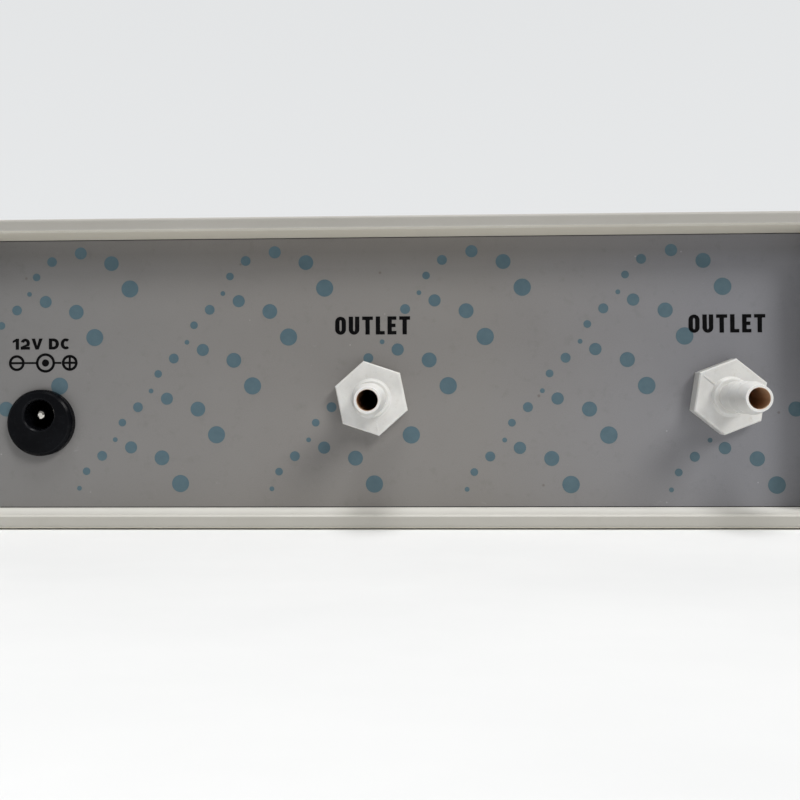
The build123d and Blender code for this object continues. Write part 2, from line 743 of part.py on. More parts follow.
def make_valve_plates():
    """The plates between diaphragm and head cover: chamber, valve seats and port holes."""
    square = 2 * case_half
    with BuildPart() as valve_plates:
        for side in (-1, 1):
            way = outward(side)
            with BuildSketch(face(way, side * case_half, 0, crank_z)):
                RectangleRounded(square, square, 3.0)
            extrude(amount=plate_outer - case_half)
            head_plane = face(way, side * case_half, 0, crank_z)
            bar(head_plane, diaphragm_radius, diaphragm_thickness, Mode.SUBTRACT)
            bar(head_plane, port_radius, chamber_floor - case_half, Mode.SUBTRACT)
            intake_z = crank_z + valve_rise
            bar(face(way, side * chamber_floor, 0, intake_z), 4.2, 1.0, Mode.SUBTRACT)
            for valve_z in (crank_z - valve_rise, intake_z):
                with BuildSketch(face(way, side * chamber_floor, 0, valve_z)):
                    Circle(1.0)
                    with PolarLocations(2.4, 6):
                        Circle(0.7)
                extrude(amount=plate_outer - chamber_floor, mode=Mode.SUBTRACT)
            for y, z in head_screw_spots():
                bar(face(way, side * case_half, y, z), head_screw_radius + 0.1, 20, Mode.SUBTRACT)
    save(valve_plates, "valve_plates")


def make_umbrella_valves():
    """One intake and one delivery valve in each head."""
    with BuildPart() as umbrella_valves:
        for side in (-1, 1):
            way = outward(side)
            delivery = [(chamber_floor + 0.1, 0), (chamber_floor + 0.1, 0.95), (plate_outer, 0.95)]
            delivery += [(plate_outer, 3.8), (plate_outer + 0.5, 3.6)]
            delivery += [(plate_outer + 1.0, 1.5), (plate_outer + 1.0, 0)]
            turned(lathe_plane(way, 0, 0, crank_z - valve_rise), delivery)
            intake = [(chamber_floor + 0.1, 0), (chamber_floor + 0.1, 2.0), (chamber_floor + 0.5, 3.7)]
            intake += [(chamber_floor + 1.0, 3.8), (chamber_floor + 1.0, 0.95), (plate_outer, 0.95)]
            intake += [(plate_outer, 1.35), (plate_outer + 0.6, 1.35)]
            intake += [(plate_outer + 1.2, 0.7), (plate_outer + 1.2, 0)]
            turned(lathe_plane(way, 0, 0, crank_z + valve_rise), intake)
    save(umbrella_valves, "umbrella_valves")


def make_head_cover(name, side):
    """A moulded head with separate intake and delivery spaces and a hose barb."""
    way = outward(side)
    square = 2 * case_half
    inner_face = face(way, side * plate_outer, 0, crank_z)
    cover_depth = cover_outer - plate_outer
    barb = [(cover_outer - 1.0, 0), (cover_outer - 1.0, 3.4)]
    barb += [(cover_outer + 2.0, 3.4), (cover_outer + 2.6, 2.5)]
    barb += hose_barb(2.5, inner_barb_radius, cover_outer + 3.6, 2, 4.2, 0.8, 2.4)
    barb += [(head_barb_tip, 0)]
    with BuildPart() as head_cover:
        with BuildSketch(inner_face):
            RectangleRounded(square, square, 3.0)
        extrude(amount=cover_depth)
        outer_face = head_cover.faces().sort_by(Axis.X)[-1 if side > 0 else 0]
        fillet(outer_face.edges(), radius=1.5)
        for rise in (-9.0, 9.0):
            with BuildSketch(face(way, side * plate_outer, 0, crank_z + rise)):
                RectangleRounded(22.0, 15.0, 2.0)
            extrude(amount=cover_depth - cover_wall, mode=Mode.SUBTRACT)
        turned(lathe_plane(way, 0, 0, outlet_height), barb)
        bar(face(way, side * (plate_outer + 2), 0, outlet_height), 1.7, 40, Mode.SUBTRACT)
        intake_plane = face(way, side * (plate_outer + 2), 0, crank_z + intake_rise + 1)
        bar(intake_plane, intake_radius, 40, Mode.SUBTRACT)
        for y, z in head_screw_spots():
            bar(face(way, side * plate_outer, y, z), head_screw_radius + 0.1, 20, Mode.SUBTRACT)
    save(head_cover, name)


def make_head_fittings():
    """The long screws of both heads and the foam plugs that filter the intake air."""
    with BuildPart() as head_screws:
        for side in (-1, 1):
            inward = outward(-side)
            for y, z in head_screw_spots():
                screw_plane = face(inward, side * cover_outer, y, z)
                screw(screw_plane, head_screw_radius, cover_outer - 14.6, 2.8, 2.2)
    save(head_screws, "head_screws")
    with BuildPart() as intake_foams:
        for side in (-1, 1):
            foam_start = side * (cover_outer - cover_wall)
            foam_face = face(outward(side), foam_start, 0, crank_z + intake_rise + 1)
            bar(foam_face, intake_radius - 0.02, cover_wall - 0.3)
    save(intake_foams, "intake_foams")


# ---------------------------------------------------------------- hoses

def make_hose(name, side, outlet_x, route, bend_radius):
    """A soft hose in a flat route from a head barb to an outlet fitting, widened where it grips."""
    head_end = face(outward(side), side * cuff_start, 0, outlet_height)
    fitting_end_y = thread_inner_y + 0.4
    cuff_length = inner_barb_length
    path_end_y = fitting_end_y + cuff_length
    points = [(side * cuff_end, 0)] + route + [(outlet_x, path_end_y)]
    with BuildPart() as hose:
        with BuildLine():
            FilletPolyline(*((x, y, outlet_height) for x, y in points), radius=bend_radius)
        with BuildSketch(face(outward(side), side * cuff_end, 0, outlet_height)):
            Circle(hose_outer_radius)
            Circle(hose_inner_radius, mode=Mode.SUBTRACT)
        sweep()
        tube(head_end, cuff_outer_radius, cuff_inner_radius, cuff_end - cuff_start)
        outlet_end = face("front", outlet_x, path_end_y, outlet_height)
        tube(outlet_end, cuff_outer_radius, cuff_inner_radius, cuff_length)
    save(hose, name)


# ---------------------------------------------------------------- pump mounting

def make_mounting():
    """The plate under the pump, its rubber mounts and the screws."""
    with BuildPart() as pump_bracket:
        with BuildSketch(face("up", 0, 1, bracket_bottom)):
            RectangleRounded(60, 68, 4)
            with GridLocations(48, 56, 2, 2):
                Circle(1.7, mode=Mode.SUBTRACT)
        extrude(amount=bracket_top - bracket_bottom)
        for x, y in pump_screw_spots:
            bar(face("up", x, y, bracket_bottom), head_screw_radius + 0.1, 2, Mode.SUBTRACT)
    save(pump_bracket, "pump_bracket")
    with BuildPart() as rubber_mounts:
        for x, y in mount_spots:
            tube(face("up", x, y, mount_post_top), boss_radius, 1.6, bracket_bottom - mount_post_top)
    save(rubber_mounts, "rubber_mounts")
    with BuildPart() as bracket_screws:
        for x, y in mount_spots:
            down = Plane(origin=(x, y, bracket_top), x_dir=(1, 0, 0), z_dir=(0, 0, -1))
            screw(down, head_screw_radius, bracket_top - case_bottom - 1.2, 2.8, 2.0)
        for x, y in pump_screw_spots:
            screw(face("up", x, y, bracket_bottom), head_screw_radius, 4.2, 2.6, 1.8)
    save(bracket_screws, "bracket_screws")


# ---------------------------------------------------------------- electrics

def make_board():
    """The speed-control circuit board and what is soldered to it."""
    with BuildPart() as circuit_board:
        block(board_x, board_y, board_z)
        for x, y in board_posts:
            bar(face("up", x, y, board_z[0]), 1.3, 3, Mode.SUBTRACT)
    save(circuit_board, "circuit_board")
    top = board_z[1]
    with BuildPart() as board_components:
        bar(face("up", -68, 23, top), 4.0, 9.0)
        bar(face("up", -58, 23, top), 3.2, 7.0)
        tube(face("up", -66, 38, top), 5.0, 2.4, 4.0)
        block((-61, -59), (30, 40), (top, top + 14))
        block((-58, -53), (32, 38), (top, top + 1.6))
        for x in (-70, -56):
            block((x - 4, x + 4), (44, 47), (top, top + 6))
        for x in (-64, -61, -58):
            block((x - 0.8, x + 0.8), (27, 28.2), (top, top + 0.6))
        block((-67, -57), (13.5, 18), (top, top + 5))
    save(board_components, "board_components")


def make_potentiometer():
    """The airflow control: a panel potentiometer with its nut, shaft and knob."""
    bush_end = film_face + 5.0
    inside = panel_inner - 1.0
    with BuildPart() as pot_body:
        bar(face("back", knob_x, inside - pot_depth, control_z), pot_radius, pot_depth)
        bar(face("back", knob_x, inside, control_z), pot_bush_radius, bush_end - inside)
        bar(face("back", knob_x, inside, control_z), pot_radius - 2.0, 1.0)
        bar(face("back", knob_x, inside - 3, control_z), pot_shaft_radius + 0.03, 40, Mode.SUBTRACT)
        for x in (-5.0, 0.0, 5.0):
            block(
                (knob_x + x - 0.6, knob_x + x + 0.6),
                (inside - 4.3, inside - 3.7),
                (control_z - 14, control_z - pot_radius + 1.5 + 0.1 * abs(x)),
            )
        with BuildSketch(face("back", knob_x, film_face, control_z)):
            RegularPolygon(5.0, 6, major_radius=False)
            Circle(pot_bush_radius + 0.02, mode=Mode.SUBTRACT)
        extrude(amount=2.0)
    save(pot_body, "pot_body")

    with BuildPart() as pot_shaft:
        bar(face("back", knob_x, inside - 2.5, control_z), pot_shaft_radius, 17.0 + 2.5)
        flat_x = (knob_x + 1.5, knob_x + 5)
        block(flat_x, (bush_end + 0.5, film_face + 20), (control_z - 5, control_z + 5), Mode.SUBTRACT)
    save(pot_shaft, "pot_shaft")

    knob_base = film_face + knob_gap
    knob_top = film_face + knob_reach
    shaft_end = inside - 2.5 + 19.5
    outline = [(knob_base, 8.0), (knob_base, knob_radius - 0.2), (knob_base + 0.4, knob_radius)]
    outline += [(knob_base + 2.6, knob_radius), (knob_base + 3.0, knob_radius - 0.5)]
    outline += [(knob_top - 1.2, knob_radius - 1.2), (knob_top - 0.4, knob_radius - 1.7)]
    outline += [(knob_top, knob_radius - 2.6), (knob_top, 0), (bush_end + 0.5, 0), (bush_end + 0.5, 8.0)]
    with BuildPart() as airflow_knob:
        turned(lathe_plane("back", knob_x, 0, control_z), outline)
        bar(face("back", knob_x, bush_end, control_z), pot_shaft_radius, shaft_end - bush_end, Mode.SUBTRACT)
        flat_x = (knob_x + 1.5, knob_x + 3.2)
        block(flat_x, (bush_end + 0.5, shaft_end), (control_z - 3, control_z + 3))
        with BuildSketch(face("back", knob_x, knob_base + 3.0, control_z)):
            with PolarLocations(knob_radius - 0.55, knob_flutes):
                Circle(0.8)
        extrude(amount=knob_reach, mode=Mode.SUBTRACT)
        pointer = radians(knob_rest_angle)
        with BuildSketch(face("back", knob_x, knob_top, control_z)):
            with Locations((7.0 * sin(pointer), 7.0 * cos(pointer))):
                Rectangle(1.2, 4.6, rotation=-knob_rest_angle)
        extrude(amount=-0.5, mode=Mode.SUBTRACT)
    save(airflow_knob, "airflow_knob")


def make_switch():
    """A rocker switch: bezel and housing in one, with a rocker on two pivot stubs."""
    cavity_half_width = rocker_half_width + 0.2
    with BuildPart() as switch_housing:
        with BuildSketch(face("back", switch_x, film_face, control_z)):
            RectangleRounded(switch_width, switch_height, 1.2)
        extrude(amount=1.5)
        chamfer(switch_housing.faces().sort_by(Axis.Y)[-1].edges(), length=0.5)
        with BuildSketch(face("back", switch_x, 52, control_z)):
            RectangleRounded(switch_width - 2.2, switch_height - 2.0, 0.9)
        extrude(amount=film_face - 52)
        with BuildSketch(face("back", switch_x, rocker_pivot_y - 4.6, control_z)):
            Rectangle(2 * cavity_half_width, 2 * rocker_radius + 0.4)
        extrude(amount=20, mode=Mode.SUBTRACT)
        pivot = face("right", switch_x - cavity_half_width - 1.1, rocker_pivot_y, control_z)
        bar(pivot, 1.55, 2 * cavity_half_width + 2.2, Mode.SUBTRACT)
        for blade_z in (control_z - 6.0, control_z, control_z + 6.0):
            block((switch_x - 2.4, switch_x + 2.4), (44, 52), (blade_z - 0.4, blade_z + 0.4))
    save(switch_housing, "switch_housing")

    tilt = radians(rocker_tilt)
    rest_plane = Plane(
        origin=(switch_x - rocker_half_width, rocker_pivot_y, control_z),
        x_dir=(0, cos(tilt), -sin(tilt)),
        z_dir=(1, 0, 0),
    )
    with BuildPart() as switch_rocker:
        with BuildSketch(rest_plane):
            with BuildLine():
                rim = [(6.4, -9), (3.7, -1.2), (3.5, 0), (3.7, 1.2), (6.4, 9)]
                Polyline((-2.5, -9), *rim, (-2.5, 9), close=True)
            make_face()
            Circle(rocker_radius, mode=Mode.INTERSECT)
        extrude(amount=2 * rocker_half_width)
        stub_reach = rocker_half_width + 1.1
        bar(face("right", switch_x - stub_reach, rocker_pivot_y, control_z), 1.5, 2 * stub_reach)
    save(switch_rocker, "switch_rocker")


def make_led():
    """The power light: a domed lens held from behind the panel."""
    with BuildPart() as power_led:
        outline = [(59.0, 0), (59.0, led_radius), (panel_inner - 1, led_radius)]
        outline += [(panel_inner - 1, led_radius + 0.5), (panel_inner, led_radius + 0.5)]
        outline += [(panel_inner, led_radius), (66.6, led_radius), (67.4, 2.2)]
        outline += [(68.1, 1.5), (68.4, 0.7), (68.5, 0)]
        turned(lathe_plane("back", 0, 0, led_z), outline)
    save(power_led, "power_led")


def lead(points):
    """A round insulated wire along rounded corners."""
    with BuildLine() as route:
        FilletPolyline(*points, radius=1.5)
    path = route.wires()[0]
    with BuildSketch(Plane(origin=path @ 0, z_dir=path % 0)) as section:
        Circle(0.75)
    sweep(section.sketch, path=path)


def make_leads():
    """Leads from jack, switch, motor, lamp and potentiometer to the circuit board."""
    top = board_z[1]
    deck = top + 2.0
    chip = top + 0.8
    lamp_level = top + 3.3
    low = floor_z + 3.0
    tag_z = (control_z - 6.0, control_z)
    pot_tag_z = control_z - 14.1
    with BuildPart() as wiring_leads:
        for jack_side, board_side in ((-2.6, -64.5), (2.6, -59.5)):
            x = jack_x + jack_side
            lead([(x, -42.9, jack_z), (x, -38, jack_z), (x, -38, low), (board_side, 4, low),
                  (board_side, 4, deck), (board_side, 13.4, deck)])
        for x, loop_y, level, front_y, tag in ((-72, 54, 19, 40, tag_z[0]), (-68, 57, 21, 37, tag_z[1])):
            lead([(x, 47.2, deck), (x, loop_y, deck), (x, loop_y, level), (x, front_y, level),
                  (x, front_y, tag), (switch_x, front_y, tag), (switch_x, 43.9, tag)])
        for start_y, corner_x, cross_y, blade_x in ((33.5, -45.0, 58.0, -8.0), (36.5, -47.5, 60.5, 8.0)):
            lead([(-52.9, start_y, chip), (corner_x, start_y, chip), (corner_x, cross_y, chip),
                  (blade_x, cross_y, chip), (blade_x, cross_y, crank_z),
                  (blade_x, motor_back + 5.1, crank_z)])
        for start_x, cross_y, tag_x in ((-58, 55, knob_x - 5), (-54, 58, knob_x)):
            lead([(start_x, 47.2, deck), (start_x, cross_y, deck), (start_x, cross_y, low),
                  (tag_x, cross_y, low), (tag_x, 58.7, low + 4), (tag_x, 58.7, pot_tag_z)])
        lead([(0, 58.9, led_z), (0, 56.5, led_z), (-12, 56.5, led_z), (-12, 56.5, lamp_level),
              (-42.5, 56.5, lamp_level), (-42.5, 30.5, lamp_level), (-54, 30.5, lamp_level),
              (-54, 30.5, top + 0.05)])
    save(wiring_leads, "wiring_leads")


os.makedirs("parts", exist_ok=True)
make_bottom_shell()
make_top_shell()
make_feet()
make_case_screws()
make_panels()
make_outlet_fitting("left_outlet_fitting", left_outlet_x, 41.5, -78.5)
make_outlet_fitting("right_outlet_fitting", right_outlet_x, 21.0, 141.0)
make_outlet_hardware()
make_jack()
make_crankcase()
make_crankcase_cover()
make_motor_shell()
make_armature()
make_eccentric()
make_bearings()
for letter, head_side in (("a", 1), ("b", -1)):
    make_rod(f"rod_{letter}", head_side)
    make_diaphragm(f"diaphragm_{letter}", head_side)
    make_retainer(f"retainer_{letter}", head_side)
    make_head_cover(f"head_cover_{letter}", head_side)
make_valve_plates()
make_umbrella_valves()
make_head_fittings()
make_hose("air_hose_a", 1, right_outlet_x, [(right_outlet_x, 0)], 17.0)
make_hose(
    "air_hose_b",
    -1,
    left_outlet_x,
    [(hose_b_side_x, 0), (hose_b_side_x, hose_b_cross_y), (left_outlet_x, hose_b_cross_y)],
    11.0,
)
make_mounting()
make_board()
make_potentiometer()
make_switch()
make_led()
make_leads()
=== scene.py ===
"""Looks of the air pump: printed panels, moulded case, fittings, floor, light and camera."""

import json
import math

import bmesh
import bpy
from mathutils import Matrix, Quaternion, Vector


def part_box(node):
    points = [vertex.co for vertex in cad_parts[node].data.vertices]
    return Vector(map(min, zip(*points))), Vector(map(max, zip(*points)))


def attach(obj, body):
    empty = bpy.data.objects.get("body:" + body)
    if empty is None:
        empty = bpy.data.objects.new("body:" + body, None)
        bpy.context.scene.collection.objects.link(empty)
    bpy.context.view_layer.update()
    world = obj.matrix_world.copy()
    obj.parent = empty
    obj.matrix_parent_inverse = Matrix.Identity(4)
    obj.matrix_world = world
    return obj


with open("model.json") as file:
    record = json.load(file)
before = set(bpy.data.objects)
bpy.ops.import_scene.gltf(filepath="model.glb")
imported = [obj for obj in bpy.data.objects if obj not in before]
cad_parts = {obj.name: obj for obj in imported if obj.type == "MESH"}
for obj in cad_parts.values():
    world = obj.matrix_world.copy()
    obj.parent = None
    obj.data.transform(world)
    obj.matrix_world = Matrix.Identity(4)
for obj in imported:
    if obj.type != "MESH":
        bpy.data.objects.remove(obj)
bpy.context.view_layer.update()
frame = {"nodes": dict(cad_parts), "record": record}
slot_of = {row["node"]: row["material_slot"] for row in frame["record"]["subparts"]}
MM = 0.001
FITTINGS = ("left_outlet_fitting", "right_outlet_fitting")
BORE_RADIUS = 2.03 * MM
BORE_BLUR = 0.05 * MM


def middle(node):
    """The middle of a CAD node's box."""
    low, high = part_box(node)
    return (Vector(low) + Vector(high)) / 2


# ---------------------------------------------------------------- material tools

RANGE_SOCKETS = ("From Min", "From Max", "To Min", "To Max")
# The colour sockets of a Mix node: its inputs A and B, and its output
FIRST_COLOUR, SECOND_COLOUR, MIXED_COLOUR = 6, 7, 2


class Recipe:
    """One procedural material, built node by node. Positions are in metres in the object's own frame.

    Extra settings are sockets of the shader, with underscores for the spaces in their names.
    """

    def __init__(self, name, roughness=0.5, metallic=0.0, **sockets):
        self.material = bpy.data.materials.new(name)
        self.material.use_nodes = True
        self.tree = self.material.node_tree
        self.shader = self.tree.nodes["Principled BSDF"]
        self.shader.inputs["Roughness"].default_value = roughness
        self.shader.inputs["Metallic"].default_value = metallic
        for socket, value in sockets.items():
            self.shader.inputs[socket.replace("_", " ")].default_value = value
        self.place = self.add("ShaderNodeTexCoord").outputs["Object"]

    def add(self, kind, **settings):
        node = self.tree.nodes.new(kind)
        for name, value in settings.items():
            setattr(node, name, value)
        return node

    def link(self, source, target):
        self.tree.links.new(source, target)

    def stretched(self, factors):
        """The position, scaled by a factor on each axis."""
        node = self.add("ShaderNodeMapping")
        node.inputs["Scale"].default_value = factors
        self.link(self.place, node.inputs["Vector"])
        return node.outputs["Vector"]

    def noise(self, grain, detail=2.0, roughness=0.5, stretch=None):
        """Noise whose blotches are about grain metres across."""
        node = self.add("ShaderNodeTexNoise")
        node.inputs["Scale"].default_value = 1.0 / grain
        node.inputs["Detail"].default_value = detail
        node.inputs["Roughness"].default_value = roughness
        self.link(self.stretched(stretch) if stretch else self.place, node.inputs["Vector"])
        return node.outputs["Fac"]

    def cells(self, size):
        """Distance to the nearest of scattered points about size metres apart."""
        node = self.add("ShaderNodeTexVoronoi")
        node.inputs["Scale"].default_value = 1.0 / size
        self.link(self.place, node.inputs["Vector"])
        return node.outputs["Distance"]

    def limits(self, value, low, high, to_low=0.0, to_high=1.0):
        """value rescaled from low..high to to_low..to_high, and clamped."""
        node = self.add("ShaderNodeMapRange")
        for socket, number in zip(RANGE_SOCKETS, (low, high, to_low, to_high)):
            node.inputs[socket].default_value = number
        self.link(value, node.inputs["Value"])
        return node.outputs["Result"]

    def mixed(self, factor, first, second):
        """Colour from first to second as factor goes from 0 to 1."""
        node = self.add("ShaderNodeMix", data_type="RGBA")
        self.link(factor, node.inputs["Factor"])
        for index, colour in ((FIRST_COLOUR, first), (SECOND_COLOUR, second)):
            if isinstance(colour, tuple):
                node.inputs[index].default_value = (*colour, 1.0)
            else:
                self.link(colour, node.inputs[index])
        return node.outputs[MIXED_COLOUR]

    def tinted(self, colour, tint):
        """A colour multiplied by a tint."""
        node = self.add("ShaderNodeMix", data_type="RGBA", blend_type="MULTIPLY")
        node.inputs["Factor"].default_value = 1.0
        self.link(colour, node.inputs[FIRST_COLOUR])
        node.inputs[SECOND_COLOUR].default_value = (*tint, 1.0)
        return node.outputs[MIXED_COLOUR]

    def along(self, axis, near, far):
        """0 where the position on an axis is near and 1 where it is far, changing evenly between."""
        parts = self.add("ShaderNodeSeparateXYZ")
        self.link(self.place, parts.inputs[0])
        return self.limits(parts.outputs[axis], near, far)

    def facing(self, near, far):
        """0 where the surface's upward lean is near and 1 where it is far: 1 is level and face up."""
        geometry = self.add("ShaderNodeNewGeometry")
        parts = self.add("ShaderNodeSeparateXYZ")
        self.link(geometry.outputs["Normal"], parts.inputs[0])
        return self.limits(parts.outputs["Z"], near, far)

    def tunnel(self, x, z, radius):
        """1 inside a bore that runs along Y, 0 outside it."""
        parts = self.add("ShaderNodeSeparateXYZ")
        self.link(self.place, parts.inputs[0])
        flat = self.add("ShaderNodeCombineXYZ")
        self.link(parts.outputs["X"], flat.inputs["X"])
        self.link(parts.outputs["Z"], flat.inputs["Z"])
        reach = self.add("ShaderNodeVectorMath", operation="DISTANCE")
        self.link(flat.outputs[0], reach.inputs[0])
        reach.inputs[1].default_value = (x, 0.0, z)
        return self.limits(reach.outputs["Value"], radius + BORE_BLUR, radius - BORE_BLUR)

    def product(self, first, second):
        """One value times another, or times a number."""
        node = self.add("ShaderNodeMath", operation="MULTIPLY")
        for socket, value in zip(node.inputs, (first, second)):
            if isinstance(value, (int, float)):
                socket.default_value = value
            else:
                self.link(value, socket)
        return node.outputs[0]

    def edges(self, width):
        """1 on edges and 0 on flats: how far a rounded normal leans from the true one."""
        bevel = self.add("ShaderNodeBevel", samples=4)
        bevel.inputs["Radius"].default_value = width
        geometry = self.add("ShaderNodeNewGeometry")
        dot = self.add("ShaderNodeVectorMath", operation="DOT_PRODUCT")
        self.link(bevel.outputs["Normal"], dot.inputs[0])
        self.link(geometry.outputs["Normal"], dot.inputs[1])
        return self.limits(dot.outputs["Value"], 0.985, 0.80)

    def hollows(self, reach):
        """1 in corners and recesses, 0 in the open."""
        node = self.add("ShaderNodeAmbientOcclusion", samples=6)
        node.inputs["Distance"].default_value = reach
        return self.limits(node.outputs["AO"], 0.75, 0.25)

    def bump(self, height, depth, strength=1.0):
        """Relief of the surface, depth metres deep."""
        node = self.add("ShaderNodeBump")
        node.inputs["Distance"].default_value = depth
        node.inputs["Strength"].default_value = strength
        self.link(height, node.inputs["Height"])
        self.link(node.outputs["Normal"], self.shader.inputs["Normal"])

    def colour(self, source):
        """Takes a colour as the surface's own."""
        self.link(source, self.shader.inputs["Base Color"])

    def gloss(self, source):
        """Takes a value as the surface's roughness."""
        self.link(source, self.shader.inputs["Roughness"])


# ---------------------------------------------------------------- materials

def moulded_case():
    """Warm light grey ABS: fine moulded texture, faint soiling, grime and painted shade in its corners,
    rubbed edges with a painted highlight, painted bounce light on its undersides, painted shade towards the
    top and a ledge painted paler.
    """
    front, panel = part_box("bottom_shell")[0][1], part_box("outlet_panel_film")[0][1]
    recipe = Recipe("shell_plastic", roughness=0.52, Specular_IOR_Level=0.4)
    cloud = recipe.limits(recipe.noise(0.030, 4.0, 0.6), 0.30, 0.70)
    base = recipe.mixed(cloud, (0.436, 0.424, 0.384), (0.468, 0.456, 0.416))
    stain = recipe.product(recipe.limits(recipe.noise(0.006, 5.0, 0.65), 0.60, 0.80), 0.22)
    soiled = recipe.mixed(stain, base, (0.33, 0.305, 0.245))
    streak = recipe.limits(recipe.noise(0.004, 3.0, 0.6, (0.15, 1.0, 1.0)), 0.66, 0.74)
    streaked = recipe.mixed(recipe.product(streak, 0.22), soiled, (0.29, 0.27, 0.22))
    # Darker and browner in corners and recesses: some grime, and painted shade.
    grime_and_painted_corner_shade = recipe.mixed(recipe.product(recipe.hollows(0.003), 0.30), streaked, (0.27, 0.25, 0.205))
    fleck = recipe.limits(recipe.cells(0.0065), 0.060, 0.03)
    specked = recipe.mixed(recipe.product(fleck, 0.55), grime_and_painted_corner_shade, (0.20, 0.17, 0.13))
    # Paler and yellower on faces that look down: painted bounce light from the floor.
    painted_bounce_mask = recipe.product(recipe.facing(-0.4, -0.9), 0.85)
    painted_underside_bounce = recipe.mixed(painted_bounce_mask, specked, (0.84, 0.80, 0.68))
    # The low ledge is painted paler, most towards the back: painted light.
    ledge = recipe.product(recipe.facing(0.4, 0.9), recipe.along("Z", 0.012, 0.009))
    painted_ledge_light_mask = recipe.product(ledge, recipe.along("Y", front - 1.5 * MM, panel - 3.0 * MM))
    painted_ledge_light = recipe.mixed(recipe.product(painted_ledge_light_mask, 0.80), painted_underside_bounce, (0.84, 0.83, 0.78))
    # Darker towards the top: painted shade.
    painted_shade_towards_top = recipe.mixed(recipe.along("Z", 0.020, 0.058), painted_ledge_light, recipe.tinted(painted_ledge_light, (0.87, 0.865, 0.875)))
    # Edges above the foot are paler in broken patches: rubbing wear with a painted highlight.
    patchy_edge_strength = recipe.limits(recipe.noise(0.012, 3.0, 0.6), 0.35, 0.60, 0.25, 0.80)
    wear_and_painted_edge_highlight = recipe.product(recipe.edges(0.0006), patchy_edge_strength)
    rubbed = recipe.product(wear_and_painted_edge_highlight, recipe.along("Z", 0.004, 0.030))
    recipe.colour(recipe.mixed(rubbed, painted_shade_towards_top, (0.80, 0.79, 0.75)))
    grain = recipe.noise(0.00035, 3.0, 0.6)
    recipe.gloss(recipe.limits(recipe.noise(0.004, 4.0, 0.6), 0.3, 0.7, 0.46, 0.60))
    recipe.bump(grain, 0.00004, 0.55)
    return recipe.material


def printed_film():
    """Satin grey polyester film with very fine speckle, dust, dirt and scuffs, with painted shade under the
    top lip and painted tints of light towards its ends.
    """
    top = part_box("outlet_panel_film")[1][2]
    recipe = Recipe("panel_film", roughness=0.42, Specular_IOR_Level=0.45)
    cloud = recipe.limits(recipe.noise(0.030, 3.0, 0.55), 0.35, 0.65)
    base = recipe.mixed(cloud, (0.222, 0.209, 0.201), (0.238, 0.226, 0.218))
    speckle = recipe.limits(recipe.noise(0.00022, 2.0, 0.7), 0.30, 0.70)
    grained = recipe.mixed(recipe.product(speckle, 0.45), base, (0.275, 0.270, 0.260))
    blotch = recipe.limits(recipe.noise(0.0026, 5.0, 0.75), 0.56, 0.72)
    blotched = recipe.mixed(recipe.product(blotch, 0.26), grained, (0.165, 0.158, 0.145))
    dust = recipe.limits(recipe.cells(0.0060), 0.036, 0.014)
    dusty = recipe.mixed(recipe.product(dust, 0.50), blotched, (0.50, 0.49, 0.46))
    dirt = recipe.limits(recipe.cells(0.0085), 0.046, 0.022)
    dirtied = recipe.mixed(recipe.product(dirt, 0.60), dusty, (0.13, 0.10, 0.09))
    scuff = recipe.limits(recipe.noise(0.0035, 6.0, 0.75, (0.7, 1.0, 1.5)), 0.66, 0.72)
    scuffed = recipe.mixed(recipe.product(scuff, 0.22), dirtied, (0.40, 0.395, 0.38))
    # A darker band just under the top lip: painted shade from the lip.
    painted_lip_shade = recipe.tinted(scuffed, (0.80, 0.79, 0.78))
    with_painted_lip_shade = recipe.mixed(recipe.along("Z", top - 5.9 * MM, top - 2.9 * MM), scuffed, painted_lip_shade)
    # Cooler and darker towards the left end, bluer towards the right: painted tints of the light.
    cooler = recipe.tinted(with_painted_lip_shade, (0.88, 0.91, 0.95))
    left = recipe.mixed(recipe.along("X", -0.020, -0.085), with_painted_lip_shade, cooler)
    painted_blue_light_right = recipe.tinted(left, (0.97, 1.02, 1.15))
    recipe.colour(recipe.mixed(recipe.along("X", 0.020, 0.070), left, painted_blue_light_right))
    recipe.gloss(recipe.limits(recipe.noise(0.002, 3.0, 0.6), 0.3, 0.7, 0.38, 0.50))
    recipe.bump(recipe.noise(0.00028, 2.0, 0.6), 0.00002, 0.45)
    return recipe.material


